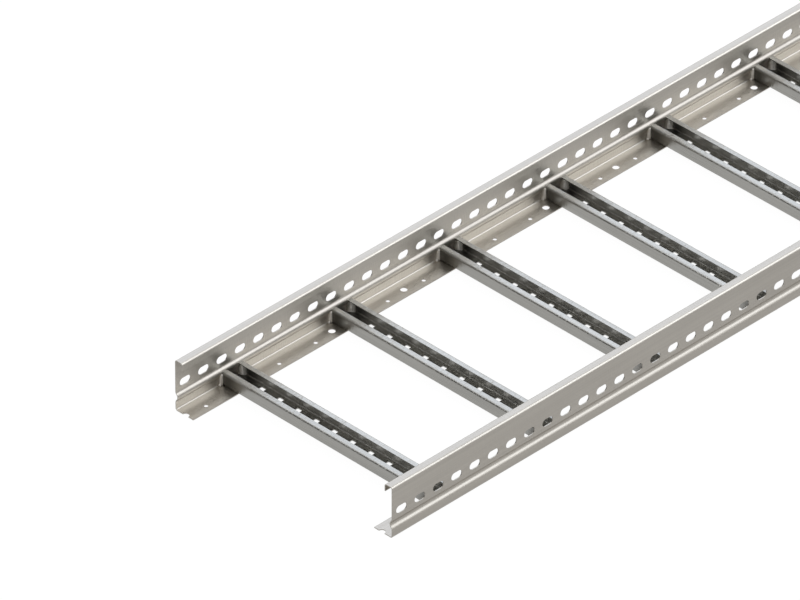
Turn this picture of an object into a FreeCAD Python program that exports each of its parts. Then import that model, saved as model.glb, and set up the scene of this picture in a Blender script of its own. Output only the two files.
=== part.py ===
import FreeCAD, Part
import math
import os

# A straight section of welded cable ladder: two roll-formed side rails, with a row of slots in each
# web, joined by C-shaped rungs that lie on the rails' bottom flanges and are welded to their webs.
# X runs along the ladder, Y across it and Z up. The origin is under the middle of the ladder, level
# with the underside of the bottom flanges. Sizes are in millimetres.

# the whole section, which is as long as its rungs need
RUNG_COUNT = 10
RUNG_PITCH = 300.0
LENGTH = RUNG_COUNT * RUNG_PITCH
WIDTH = 597.0
HEIGHT = 120.0

# rail: one bent sheet, with its flanges turned inward and a lip turned down from the top one
RAIL_SHEET = 2.0
RAIL_BEND = 5.0            # outer radius of the bends
TOP_FLANGE = 21.0
LIP = 17.0
BOTTOM_FLANGE = 49.5

# crease that stiffens the web: its flanks would meet at the reach, and its bends round that off
CREASE_Z = 31.5
CREASE_HALF = 10.0
CREASE_REACH = 8.1
CREASE_BEND = 9.5          # radius at the middle of the sheet

# slots halfway up the web, for splice plates and brackets
SLOT_FIRST = 25.0
SLOT_PITCH = 50.0
SLOT_LENGTH = 29.0
SLOT_WIDTH = 17.0

# round holes in the bottom flange: small ones at both sides of each rung, large ones in pairs
SMALL_HOLE = 9.0
SMALL_HOLE_INSET = 34.0    # from the rail's outer face
SMALL_HOLE_FROM_RUNG = 100.0
LARGE_HOLE = 15.0
LARGE_HOLE_INSET = 28.5
LARGE_HOLE_SPACING = 400.0
LARGE_HOLE_PERIOD = 600.0

# rung: one bent sheet, open at the top, with slots across its base
RUNG_WIDTH = 59.5
RUNG_HEIGHT = 30.0
RUNG_SHEET = 2.0
RUNG_BEND = 5.0
RUNG_MOUTH = 32.0
RUNG_ROOT_GAP = 0.4        # between the rung's end and the ridge of the crease, filled by the weld
RUNG_SLOT_PITCH = 50.0
RUNG_SLOT_LENGTH = 39.0
RUNG_SLOT_WIDTH = 12.5
RUNG_SLOT_CORNER = 2.0
RUNG_SLOT_EDGE = 60.0      # least distance from a slot's middle to the rung's end

# weld up both faces of each rung wall, in the corner with the web
WELD_LEG = 6.5


def stations(first, pitch, last):
    """Places from first to last, one pitch apart."""
    count = int(math.floor((last - first) / pitch + 1e-6)) + 1
    return [first + pitch * i for i in range(count)]


def bent_strip(points, radii, sheet):
    """Outline of a bent sheet, in the YZ plane, round the corners of its middle line.

    points are the sharp corners of the middle line, ends included, as (y, z).
    radii are the bend radii at the middle line, one for each inner corner.
    """
    line = [FreeCAD.Vector(0, y, z) for y, z in points]
    along = [(b - a).normalize() for a, b in zip(line, line[1:])]
    across = [FreeCAD.Vector(0, -d.z, d.y) for d in along]
    sides = []
    for shift in (sheet / 2, -sheet / 2):
        edges = []
        here = line[0] + across[0] * shift
        for i, radius in enumerate(radii):
            corner, d_in, d_out = line[i + 1], along[i], along[i + 1]
            turn = math.atan2(d_in.y * d_out.z - d_in.z * d_out.y, d_in.dot(d_out))
            reach = radius * math.tan(abs(turn) / 2)
            centre = corner - d_in * reach + across[i] * math.copysign(radius, turn)
            begin = corner - d_in * reach + across[i] * shift
            end = corner + d_out * reach + across[i + 1] * shift
            bent = (begin - centre).Length
            middle = centre + (corner - centre).normalize() * bent
            edges.append(Part.LineSegment(here, begin).toShape())
            edges.append(Part.Arc(begin, middle, end).toShape())
            here = end
        last = line[-1] + across[-1] * shift
        edges.append(Part.LineSegment(here, last).toShape())
        sides.append((edges, line[0] + across[0] * shift, last))
    (left, left_start, left_end), (right, right_start, right_end) = sides
    closing = [Part.LineSegment(left_end, right_end).toShape(),
               Part.LineSegment(left_start, right_start).toShape()]
    wire = Part.Wire(Part.__sortEdges__(left + right + closing))
    return Part.Face(wire)


def slot_cutter(length, width, corner, depth):
    """A cutter for a slot long in X, standing on Z, with its middle at the origin.

    A corner radius of half the width makes the slot's ends round.
    """
    x, y = length / 2 - corner, width / 2 - corner
    low = FreeCAD.Vector(0, 0, -depth / 2)
    bars = [Part.makeBox(2 * x, width, depth, low + FreeCAD.Vector(-x, -width / 2, 0))]
    if y > 0:
        bars.append(Part.makeBox(length, 2 * y, depth, low + FreeCAD.Vector(-length / 2, -y, 0)))
    ends = [Part.makeCylinder(corner, depth, low + FreeCAD.Vector(side_x * x, side_y * y, 0))
            for side_x in (-1, 1) for side_y in ((-1, 1) if y > 0 else (0,))]
    return bars[0].fuse(bars[1:] + ends).removeSplitter()


def moved(shape, x=0.0, y=0.0, z=0.0):
    copy = shape.copy()
    copy.translate(FreeCAD.Vector(x, y, z))
    return copy


def crease_depth():
    """How far the rounded ridge of the crease stands inward of the web."""
    flank = math.atan2(CREASE_REACH, CREASE_HALF)
    return CREASE_REACH - CREASE_BEND * (1 / math.cos(flank) - 1)


def rail_face():
    """Section of the left rail, whose outer face is at +Y."""
    web = WIDTH / 2 - RAIL_SHEET / 2
    top = HEIGHT - RAIL_SHEET / 2
    bottom = RAIL_SHEET / 2
    lip = WIDTH / 2 - TOP_FLANGE + RAIL_SHEET / 2
    bend = RAIL_BEND - RAIL_SHEET / 2
    points = [(lip, HEIGHT - LIP),
              (lip, top),
              (web, top),
              (web, CREASE_Z + CREASE_HALF),
              (web - CREASE_REACH, CREASE_Z),
              (web, CREASE_Z - CREASE_HALF),
              (web, bottom),
              (WIDTH / 2 - BOTTOM_FLANGE, bottom)]
    radii = [bend, bend, CREASE_BEND, CREASE_BEND, CREASE_BEND, bend]
    return bent_strip(points, radii, RAIL_SHEET)


def rail_blank(start, length):
    face = rail_face()
    face.translate(FreeCAD.Vector(start, 0, 0))
    return face.extrude(FreeCAD.Vector(length, 0, 0))


def rung_places():
    return [RUNG_PITCH * (i + 0.5) - LENGTH / 2 for i in range(RUNG_COUNT)]


def web_slots():
    cutter = slot_cutter(SLOT_LENGTH, SLOT_WIDTH, SLOT_WIDTH / 2, 4 * RAIL_SHEET)
    cutter.rotate(FreeCAD.Vector(), FreeCAD.Vector(1, 0, 0), 90)
    web = WIDTH / 2 - RAIL_SHEET / 2
    places = stations(SLOT_FIRST, SLOT_PITCH, LENGTH - SLOT_FIRST)
    return [moved(cutter, x - LENGTH / 2, web, HEIGHT / 2) for x in places]


def flange_holes():
    small_y = WIDTH / 2 - SMALL_HOLE_INSET
    large_y = WIDTH / 2 - LARGE_HOLE_INSET
    below = FreeCAD.Vector(0, 0, -RAIL_SHEET)
    small = Part.makeCylinder(SMALL_HOLE / 2, 3 * RAIL_SHEET, below)
    large = Part.makeCylinder(LARGE_HOLE / 2, 3 * RAIL_SHEET, below)
    holes = [moved(small, x + side * SMALL_HOLE_FROM_RUNG, small_y)
             for x in rung_places() for side in (-1, 1)]
    for first in (0.0, LARGE_HOLE_SPACING):
        holes += [moved(large, x - LENGTH / 2, large_y) for x in stations(first, LARGE_HOLE_PERIOD, LENGTH)]
    return holes


def left_rail():
    return rail_blank(-LENGTH / 2, LENGTH).cut(web_slots() + flange_holes()).removeSplitter()


def rung_reach():
    """Half the rung's length: it ends just short of the ridge of each rail's crease."""
    return WIDTH / 2 - RAIL_SHEET - crease_depth() - RUNG_ROOT_GAP


def rung_slot_places():
    last = rung_reach() - RUNG_SLOT_EDGE
    half = [y for y in stations(RUNG_SLOT_PITCH / 2, RUNG_SLOT_PITCH, last)]
    return [-y for y in half] + half


def rung():
    """The rung at X = 0, on top of the bottom flanges."""
    wall = RUNG_WIDTH / 2 - RUNG_SHEET / 2
    base = RAIL_SHEET + RUNG_SHEET / 2
    top = RAIL_SHEET + RUNG_HEIGHT - RUNG_SHEET / 2
    mouth = RUNG_MOUTH / 2
    bend = RUNG_BEND - RUNG_SHEET / 2
    points = [(-mouth, top), (-wall, top), (-wall, base), (wall, base), (wall, top), (mouth, top)]
    face = bent_strip(points, [bend] * 4, RUNG_SHEET)
    face.rotate(FreeCAD.Vector(), FreeCAD.Vector(0, 0, 1), 90)
    reach = rung_reach()
    face.translate(FreeCAD.Vector(0, -reach, 0))
    body = face.extrude(FreeCAD.Vector(0, 2 * reach, 0))
    cutter = slot_cutter(RUNG_SLOT_LENGTH, RUNG_SLOT_WIDTH, RUNG_SLOT_CORNER, 4 * RUNG_SHEET)
    return body.cut([moved(cutter, 0, y, base) for y in rung_slot_places()]).removeSplitter()


def rung_end_welds():
    """Weld metal round both walls of the rung at X = 0, where it meets the left rail."""
    leg = WELD_LEG + RUNG_SHEET / 2
    low = RAIL_SHEET + RUNG_BEND
    high = RAIL_SHEET + RUNG_HEIGHT - RUNG_BEND
    web = rail_blank(-RUNG_WIDTH, 2 * RUNG_WIDTH)
    body = rung()
    beads = []
    for side in (-1, 1):
        place = FreeCAD.Vector(side * (RUNG_WIDTH / 2 - RUNG_SHEET / 2), WIDTH / 2 - RAIL_SHEET, low)
        bead = Part.makeCylinder(leg, high - low, place).cut([web, body])
        beads.append(min(bead.Solids, key=lambda solid: solid.CenterOfMass.y))
    return beads


def mirrored(shape):
    return shape.mirror(FreeCAD.Vector(), FreeCAD.Vector(0, 1, 0))


def main():
    os.makedirs("parts", exist_ok=True)
    rail = left_rail()
    one_rung = rung()
    end_welds = rung_end_welds()
    left_welds = Part.makeCompound([moved(bead, x) for x in rung_places() for bead in end_welds])
    nodes = {"left_rail": rail, "right_rail": mirrored(rail),
             "left_welds": left_welds, "right_welds": mirrored(left_welds)}
    for number, x in enumerate(rung_places(), 1):
        nodes["rung_%02d" % number] = moved(one_rung, x)
    for name, shape in nodes.items():
        shape.exportStep("parts/%s.step" % name)


main()
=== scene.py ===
import math

import bmesh
import bpy
from mathutils import Matrix, Vector, noise

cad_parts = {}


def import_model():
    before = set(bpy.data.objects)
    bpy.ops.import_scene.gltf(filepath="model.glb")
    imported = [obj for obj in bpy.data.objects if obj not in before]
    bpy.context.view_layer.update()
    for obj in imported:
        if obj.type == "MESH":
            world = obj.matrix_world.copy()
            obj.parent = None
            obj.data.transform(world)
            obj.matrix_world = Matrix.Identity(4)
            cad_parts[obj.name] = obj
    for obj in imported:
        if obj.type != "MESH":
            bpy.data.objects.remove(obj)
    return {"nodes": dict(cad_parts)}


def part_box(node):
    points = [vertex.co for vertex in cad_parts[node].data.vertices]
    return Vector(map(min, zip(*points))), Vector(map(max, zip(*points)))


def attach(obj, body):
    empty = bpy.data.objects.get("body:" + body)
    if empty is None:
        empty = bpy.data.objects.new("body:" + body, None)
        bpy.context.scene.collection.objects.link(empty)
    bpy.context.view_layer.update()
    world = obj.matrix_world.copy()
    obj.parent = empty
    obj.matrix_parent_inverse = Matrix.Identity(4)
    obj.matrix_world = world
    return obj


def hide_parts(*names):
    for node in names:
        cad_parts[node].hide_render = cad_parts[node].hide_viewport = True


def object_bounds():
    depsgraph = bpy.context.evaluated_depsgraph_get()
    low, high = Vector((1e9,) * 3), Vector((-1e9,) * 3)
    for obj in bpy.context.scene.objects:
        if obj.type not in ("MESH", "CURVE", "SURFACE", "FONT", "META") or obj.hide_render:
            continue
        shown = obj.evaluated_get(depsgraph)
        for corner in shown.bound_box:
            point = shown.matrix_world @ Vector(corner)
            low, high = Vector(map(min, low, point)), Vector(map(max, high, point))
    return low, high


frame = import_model()
CAD_LOW, CAD_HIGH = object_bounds()

# A straight cable ladder section of brushed stainless steel, in metres, in the frame's own axes:
# X along the ladder, Y across it and Z up, with the rails' undersides on the floor.

# camera: an isometric view through a very long lens, aimed at a point near the floor
VIEW_FROM = Vector((-1, -1, 1)).normalized()
AIM = Vector((-0.9304, 0.2503, 0.0014))
CAMERA_DISTANCE = 24.583
SENSOR = 36.0
LENS = 561.45
CLIP_END = 4 * CAMERA_DISTANCE

# ladder: what the weld beads have to meet
RAIL_SHEET = 0.002
RUNG_SHEET = 0.002
RUNG_BEND = 0.005
CREASE_Z = 0.0315
CREASE_HALF = 0.0100
CREASE_REACH = 0.0081
CREASE_BEND = 0.0095

# brushed sheet: the size of each mark along the brushing and across it, and its height
BANDS = (0.7, 0.005)
BAND_HEIGHT = 0.00012
HAIR = (0.10, 0.0009)
HAIR_HEIGHT = 0.00003
CLOUDS = (0.16, 0.07)
WAVES = (0.0022, 0.020)

# brushed sheet: how much each mark changes the colour and the roughness
HAIR_TONE = 0.3
CLOUD_TONE = 0.6
HAIR_ROUGHNESS = 0.08
CLOUD_ROUGHNESS = 0.10

# the two sheets: run is the axis of the brushing, 0 for X and 1 for Y, streaks is how strong its
# bands are, waves is the height of the fine waves, and painted_end_shade is how much painted shade
# darkens the walls and the base at the rungs' ends, where their corners with the rails fall in shade
RAIL_FINISH = {"dark": (0.522, 0.491, 0.443), "light": (0.643, 0.607, 0.548), "run": 0,
               "roughness": 0.36, "streaks": 1.1, "waves": 0.0004, "painted_end_shade": 0.0}
RUNG_FINISH = {"dark": (0.462, 0.455, 0.429), "light": (0.610, 0.602, 0.568), "run": 1,
               "roughness": 0.29, "streaks": 1.3, "waves": 0.0008, "painted_end_shade": 0.60}

# where the painted shade on the rungs rises towards the rails, and the heights between which their
# lips get less of it
PAINTED_SHADE_FROM = 0.235
PAINTED_SHADE_TO = 0.275
LIPS_FROM = 0.0255
LIPS_TO = 0.0305
LIPS_SPARED = 0.6

# weld metal
WELD_DARK = (0.74, 0.71, 0.66)
WELD_LIGHT = (0.92, 0.89, 0.84)
WELD_GRAINS_PER_METRE = 900.0
WELD_ROUGHNESS = 0.24
WELD_ROUGHNESS_RANGE = 0.2

# weld beads: how far each reaches along the rail and along the rung, and how blunt it is at its ends
# (an odd number leaves the foot at full size)
OUTER_BEAD = (0.0058, 0.0022, 6)
INNER_BEAD = (0.0105, 0.0100, 3)
BEAD_STEPS = 40
BEAD_ARC_STEPS = 10
BEAD_TOP_IN_BEND = 0.7     # how far below the rung's top a bead ends, as a share of the rung's bend
BEAD_END = 0.15            # a bead's size at its very ends, as a share of its full size
HEAP = 0.15                # how much thicker a bead is at its foot than halfway up
WOBBLE = 0.12              # how much a bead's size wanders on its way up
WOBBLES_PER_METRE = 300
RIPPLE_PITCH = 0.0022
RIPPLE_DEPTH = 0.13
RIPPLE_SAG = 0.0012        # how far a ripple hangs down in the middle

# the beads' own seeds
WOBBLE_SEED = 7.3
RAIL_SEED = 0.3
INNER_SEED = 1.7

# blob at the foot of an outer bead: TOE_FROM_WEB and TOE_UP are shares of its radius
TOE_RADIUS = 0.0040
TOE_SEGMENTS = 16
TOE_RINGS = 10
TOE_FLATNESS = 0.85
TOE_OUT = 0.0046
TOE_FROM_WEB = 0.8
TOE_UP = 0.4

# floor and plain light
FLOOR_HALF = 60.0
FLOOR_DROP = 0.0002
FLOOR_DIFFUSE = 0.10
FLOOR_GLOW = 0.95
MIRRORED = 0.55            # how much of the white the steel mirrors
PLAIN_LIGHT = 0.60

# lamps: azimuth and elevation in degrees, width, height, colour and brightness
LAMP_DISTANCE = 10.0
LAMPS = {"side_box": (-46, 33, 13.0, 7.6, (0.87, 0.92, 1.0), 0.98),
         "key_box": (-26, 47, 9.0, 4.6, (0.84, 0.91, 1.0), 1.15),
         "ceiling": (64, 33, 12.0, 7.0, (0.65, 0.77, 1.0), 0.64),
         "back_box": (178, 35, 3.0, 3.0, (1.0, 0.98, 0.94), 2.2)}

# dark panels for the steel to mirror
FLAG_AZIMUTHS = (140, -135)
FLAG_DISTANCE = 28.0
FLAG_WIDTH = 30.0
FLAG_HEIGHT = 34.0
FLAG_CLOTH = 0.20


class Shade:
    """A shader socket that can be written in sums. add() makes any other node of its tree."""

    def __init__(self, tree, socket=None):
        self.tree = tree
        self.socket = socket

    def add(self, kind, settings=None, inputs=None, output=0):
        node = self.tree.nodes.new(kind)
        for name, value in (settings or {}).items():
            setattr(node, name, value)
        for name, value in (inputs or {}).items():
            if isinstance(value, Shade):
                self.tree.links.new(value.socket, node.inputs[name])
            else:
                node.inputs[name].default_value = value
        return Shade(self.tree, node.outputs[output] if node.outputs else None)

    def math(self, operation, first, second):
        return self.add("ShaderNodeMath", {"operation": operation}, {0: first, 1: second})

    def __add__(self, other):
        return self.math("ADD", self, other)

    def __radd__(self, other):
        return self.math("ADD", other, self)

    def __sub__(self, other):
        return self.math("SUBTRACT", self, other)

    def __rsub__(self, other):
        return self.math("SUBTRACT", other, self)

    def __mul__(self, other):
        return self.math("MULTIPLY", self, other)

    def __rmul__(self, other):
        return self.math("MULTIPLY", other, self)

    def larger(self, other):
        return self.math("MAXIMUM", self, other)

    def stretched(self, scale):
        """This vector with each of its parts scaled."""
        return self.add("ShaderNodeVectorMath", {"operation": "MULTIPLY"}, {0: self, 1: scale})

    def part(self, axis):
        """One part of this vector."""
        return self.add("ShaderNodeSeparateXYZ", None, {"Vector": self}, output=axis)

    def eased(self, low, high):
        """0 up to low and 1 from high on, with a smooth rise between them."""
        return self.add("ShaderNodeMapRange", {"interpolation_type": "SMOOTHSTEP"},
                        {"Value": self, "From Min": low, "From Max": high}, output="Result")

    def dimmed(self, strength):
        """This colour times a value."""
        return self.add("ShaderNodeVectorMath", {"operation": "SCALE"}, {0: self, "Scale": strength})

    def noise(self, detail=2.0):
        """Noise from 0 to 1 at this vector."""
        return self.add("ShaderNodeTexNoise", None, {"Vector": self, "Scale": 1.0, "Detail": detail})

    def mixed(self, first, second):
        """A colour between two others, by this value."""
        return self.add("ShaderNodeMix", {"data_type": "RGBA"},
                        {"Factor": self, "A": (*first, 1), "B": (*second, 1)}, output="Result")


def new_material(name):
    material = bpy.data.materials.new(name)
    material.use_nodes = True
    material.node_tree.nodes.clear()
    return material, Shade(material.node_tree)


def brushed_steel(name, dark, light, run, roughness, streaks, waves, painted_end_shade):
    """Brushed sheet steel, with a finish such as RAIL_FINISH."""
    material, shade = new_material(name)
    place = shade.add("ShaderNodeTexCoord", output="Object")

    def marks(size, detail):
        along, across = size
        scale = [1 / across] * 3
        scale[run] = 1 / along
        return place.stretched(scale).noise(detail)

    bands = marks(BANDS, 3.0)
    hair = marks(HAIR, 2.0)
    clouds = marks(CLOUDS, 2.0)
    swell = marks(WAVES, 1.0)
    brushing = (bands - 0.5) * streaks + (hair - 0.5) * HAIR_TONE * streaks
    tone = 0.5 + brushing + (clouds - 0.5) * CLOUD_TONE
    colour = tone.mixed(dark, light)
    # painted shade: the rungs' walls and bases are darkened next to the rails, where the corners fall
    # in shade
    if painted_end_shade:
        colour = colour.dimmed(1 - painted_shade_near_rails(place) * painted_end_shade)
    rough = roughness + (clouds - 0.5) * CLOUD_ROUGHNESS + (hair - 0.5) * HAIR_ROUGHNESS
    height = swell * waves + hair * HAIR_HEIGHT + bands * BAND_HEIGHT
    grooves = shade.add("ShaderNodeBump", None, {"Strength": 1.0, "Distance": 1.0, "Height": height})
    steel = shade.add("ShaderNodeBsdfPrincipled", None,
                      {"Base Color": colour, "Metallic": 1.0, "Roughness": rough, "Normal": grooves})
    shade.add("ShaderNodeOutputMaterial", None, {"Surface": steel})
    return material


def painted_shade_near_rails(place):
    """Painted shade: 1 on the rungs' walls and bases next to the rails, where the corners fall in
    shade, 0 away from them, and less on the lips.
    """
    across = place.part("Y")
    near = (across * across).eased(PAINTED_SHADE_FROM ** 2, PAINTED_SHADE_TO ** 2)
    return near * (1 - place.part("Z").eased(LIPS_FROM, LIPS_TO) * LIPS_SPARED)


def weld_steel():
    """Pickled weld metal, a little paler than the sheet."""
    material, shade = new_material("weld_metal")
    place = shade.add("ShaderNodeTexCoord", output="Object")
    grain = place.stretched([WELD_GRAINS_PER_METRE] * 3).noise()
    colour = grain.mixed(WELD_DARK, WELD_LIGHT)
    rough = WELD_ROUGHNESS + grain * WELD_ROUGHNESS_RANGE
    steel = shade.add("ShaderNodeBsdfPrincipled", None,
                      {"Base Color": colour, "Metallic": 1.0, "Roughness": rough})
    shade.add("ShaderNodeOutputMaterial", None, {"Surface": steel})
    return material


def wear(obj, material):
    obj.data.materials.clear()
    obj.data.materials.append(material)


def crease_depth(z):
    """How far the web's inner face stands inward of its plane at a height, by its bends."""
    flank = math.atan2(CREASE_REACH, CREASE_HALF)
    inner_ridge = CREASE_BEND + RAIL_SHEET / 2
    inner_foot = CREASE_BEND - RAIL_SHEET / 2
    away = abs(z - CREASE_Z)
    foot_end = CREASE_HALF + CREASE_BEND * math.tan(flank / 2)
    ridge_depth = CREASE_REACH - CREASE_BEND * (1 / math.cos(flank) - 1)
    ridge_end = inner_ridge * math.sin(flank)
    foot_start = foot_end - inner_foot * math.sin(flank)
    if away >= foot_end:
        return 0.0
    if away <= ridge_end:
        return ridge_depth - inner_ridge + math.sqrt(inner_ridge ** 2 - away ** 2)
    if away >= foot_start:
        return inner_foot - math.sqrt(inner_foot ** 2 - (foot_end - away) ** 2)
    ridge_edge = ridge_depth - inner_ridge * (1 - math.cos(flank))
    return ridge_edge - (away - ridge_end) * math.tan(flank)


def add_weld_bead(mesh, form, wall_x, wall_side, wall_end, web_y, rail_side, low, high, seed):
    """One bead, up the corner between a rung wall's face and the rail's web.

    form is OUTER_BEAD or INNER_BEAD. wall_side is the way that the wall's face looks along X, and
    rail_side is 1 at the left rail and -1 at the right one.
    """
    reach_x, reach_y, bluntness = form
    rings = []
    for i in range(BEAD_STEPS + 1):
        along = i / BEAD_STEPS
        z = low + (high - low) * along
        web = web_y - crease_depth(z)
        gap = web - wall_end
        rounding = max(0.0, 1 - (2 * along - 1) ** bluntness)
        taper = min(1.0, math.sqrt(rounding) + BEAD_END)
        swell = 1 + HEAP * (1 - 2 * along)
        wobble = 1 + WOBBLE * noise.noise(Vector((seed * WOBBLE_SEED, z * WOBBLES_PER_METRE, 0)))
        root_x = wall_x - wall_side * RUNG_SHEET / 2
        root_y = web + RAIL_SHEET / 4
        ring = [mesh.verts.new((root_x, rail_side * root_y, z))]
        for j in range(BEAD_ARC_STEPS + 1):
            turn = math.pi / 2 * j / BEAD_ARC_STEPS
            crescent = z - RIPPLE_SAG * math.sin(2 * turn)
            ripple = 1 - RIPPLE_DEPTH * abs(math.sin(math.pi * crescent / RIPPLE_PITCH + seed))
            size = taper * swell * wobble * ripple
            x = wall_x + wall_side * reach_x * size * math.cos(turn)
            y = web - (reach_y * size + gap) * math.sin(turn)
            ring.append(mesh.verts.new((x, rail_side * y, z)))
        rings.append(ring)
    count = BEAD_ARC_STEPS + 2
    for lower, upper in zip(rings, rings[1:]):
        for j in range(count):
            k = (j + 1) % count
            mesh.faces.new((lower[j], lower[k], upper[k], upper[j]))
    mesh.faces.new(rings[0])
    mesh.faces.new(list(reversed(rings[-1])))


def add_toe(mesh, place):
    """The blob that an outer bead starts from, on the rail's bottom flange."""
    squashed = Matrix.Diagonal((1, 1, TOE_FLATNESS, 1))
    bmesh.ops.create_uvsphere(mesh, u_segments=TOE_SEGMENTS, v_segments=TOE_RINGS,
                              radius=TOE_RADIUS, matrix=Matrix.Translation(place) @ squashed)


def weld_beads(side_name, rail_side):
    """The beads at one rail: inside and outside of both walls of every rung."""
    mesh = bmesh.new()
    rail_low, rail_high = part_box(side_name + "_rail")
    web_y = max(abs(rail_low.y), abs(rail_high.y)) - RAIL_SHEET
    rungs = sorted(name for name in frame["nodes"] if name.startswith("rung_"))
    for number, rung in enumerate(rungs):
        rung_low, rung_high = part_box(rung)
        wall_end = rung_high.y
        outer_low = rung_low.z
        outer_high = rung_high.z - RUNG_BEND * BEAD_TOP_IN_BEND
        inner_low = outer_low + RUNG_SHEET
        inner_high = outer_high - RUNG_SHEET
        for wall, wall_x in ((-1, rung_low.x), (1, rung_high.x)):
            inner_x = wall_x - wall * RUNG_SHEET
            seed = 4 * number + wall + rail_side * RAIL_SEED
            add_weld_bead(mesh, OUTER_BEAD, wall_x, wall, wall_end, web_y, rail_side,
                          outer_low, outer_high, seed)
            add_weld_bead(mesh, INNER_BEAD, inner_x, -wall, wall_end, web_y, rail_side,
                          inner_low, inner_high, seed + INNER_SEED)
            toe_x = wall_x + wall * TOE_OUT
            toe_y = web_y - TOE_FROM_WEB * TOE_RADIUS
            toe_z = outer_low + TOE_UP * TOE_RADIUS
            add_toe(mesh, (toe_x, rail_side * toe_y, toe_z))
    bmesh.ops.recalc_face_normals(mesh, faces=mesh.faces)
    data = bpy.data.meshes.new(side_name + "_weld_beads")
    mesh.to_mesh(data)
    mesh.free()
    for face in data.polygons:
        face.use_smooth = len(face.vertices) == 4
    obj = bpy.data.objects.new(side_name + "_weld_beads", data)
    bpy.context.scene.collection.objects.link(obj)
    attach(obj, "root")
    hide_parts(side_name + "_welds")
    return obj


def backdrop_rays(shade):
    """How much of the white a ray sees: all of it from the camera, and a part by way of the steel."""
    seen = [shade.add("ShaderNodeLightPath", output=ray)
            for ray in ("Is Camera Ray", "Is Glossy Ray", "Is Transmission Ray")]
    return seen[0].larger(seen[1].larger(seen[2]) * MIRRORED)


def floor():
    material, shade = new_material("white_floor")
    glow = backdrop_rays(shade) * FLOOR_GLOW
    lit = shade.add("ShaderNodeBsdfDiffuse", None, {"Color": (FLOOR_DIFFUSE,) * 3 + (1,)})
    white = shade.add("ShaderNodeEmission", None, {"Color": (1, 1, 1, 1), "Strength": glow})
    both = shade.add("ShaderNodeAddShader", None, {0: lit, 1: white})
    shade.add("ShaderNodeOutputMaterial", None, {"Surface": both})
    mesh = bmesh.new()
    bmesh.ops.create_grid(mesh, x_segments=1, y_segments=1, size=FLOOR_HALF)
    data = bpy.data.meshes.new("floor")
    mesh.to_mesh(data)
    mesh.free()
    obj = bpy.data.objects.new("floor", data)
    obj.location.z = CAD_LOW.z - FLOOR_DROP
    bpy.context.scene.collection.objects.link(obj)
    wear(obj, material)


def world():
    sky = bpy.data.worlds.new("studio")
    sky.use_nodes = True
    sky.node_tree.nodes.clear()
    shade = Shade(sky.node_tree)
    strength = PLAIN_LIGHT + backdrop_rays(shade) * (1 - PLAIN_LIGHT)
    white = shade.add("ShaderNodeBackground", None, {"Color": (1, 1, 1, 1), "Strength": strength})
    shade.add("ShaderNodeOutputWorld", None, {"Surface": white})
    bpy.context.scene.world = sky


def heading(azimuth, elevation):
    """The direction at an azimuth from +X towards +Y and an elevation, both in degrees."""
    turn, rise = math.radians(azimuth), math.radians(elevation)
    return Vector((math.cos(turn) * math.cos(rise), math.sin(turn) * math.cos(rise), math.sin(rise)))


def softbox(name, azimuth, elevation, width, height, colour, brightness):
    """A large soft lamp, seen from the ladder's middle in one direction."""
    data = bpy.data.lights.new(name, "AREA")
    data.shape = "RECTANGLE"
    data.size = width
    data.size_y = height
    data.color = colour
    data.energy = brightness * math.pi * width * height
    obj = bpy.data.objects.new(name, data)
    direction = heading(azimuth, elevation)
    obj.location = direction * LAMP_DISTANCE
    obj.rotation_mode = "QUATERNION"
    obj.rotation_quaternion = direction.to_track_quat("Z", "Y")
    obj.visible_camera = False
    bpy.context.scene.collection.objects.link(obj)


def dark_flag(azimuth):
    """A dark panel standing on the floor, which the camera can't see and which casts no shadow."""
    material, shade = new_material("flag_cloth")
    cloth = shade.add("ShaderNodeBsdfDiffuse", None, {"Color": (FLAG_CLOTH,) * 3 + (1,)})
    shade.add("ShaderNodeOutputMaterial", None, {"Surface": cloth})
    mesh = bmesh.new()
    towards = heading(azimuth, 0)
    across = Vector((-towards.y, towards.x, 0)) * FLAG_WIDTH / 2
    foot = towards * FLAG_DISTANCE
    top = Vector((0, 0, FLAG_HEIGHT))
    corners = [foot - across, foot + across, foot + across + top, foot - across + top]
    mesh.faces.new([mesh.verts.new(corner) for corner in corners])
    data = bpy.data.meshes.new("dark_flag")
    mesh.to_mesh(data)
    mesh.free()
    obj = bpy.data.objects.new("dark_flag", data)
    obj.visible_camera = False
    obj.visible_shadow = False
    bpy.context.scene.collection.objects.link(obj)
    wear(obj, material)


def camera():
    data = bpy.data.cameras.new("camera")
    data.sensor_width = SENSOR
    data.lens = LENS
    data.clip_end = CLIP_END
    obj = bpy.data.objects.new("camera", data)
    obj.location = AIM + VIEW_FROM * CAMERA_DISTANCE
    obj.rotation_mode = "QUATERNION"
    obj.rotation_quaternion = (-VIEW_FROM).to_track_quat("-Z", "Y")
    bpy.context.scene.collection.objects.link(obj)
    bpy.context.scene.camera = obj


def dress():
    rail = brushed_steel("rail_steel", **RAIL_FINISH)
    rung = brushed_steel("rung_steel", **RUNG_FINISH)
    for name, node in frame["nodes"].items():
        if name.endswith("_rail"):
            wear(node, rail)
        elif name.startswith("rung_"):
            wear(node, rung)
    metal = weld_steel()
    for side_name, rail_side in (("left", 1), ("right", -1)):
        wear(weld_beads(side_name, rail_side), metal)


def light():
    bpy.context.scene.view_settings.view_transform = "Standard"
    world()
    floor()
    for name, lamp in LAMPS.items():
        softbox(name, *lamp)
    for azimuth in FLAG_AZIMUTHS:
        dark_flag(azimuth)


dress()
light()
camera()
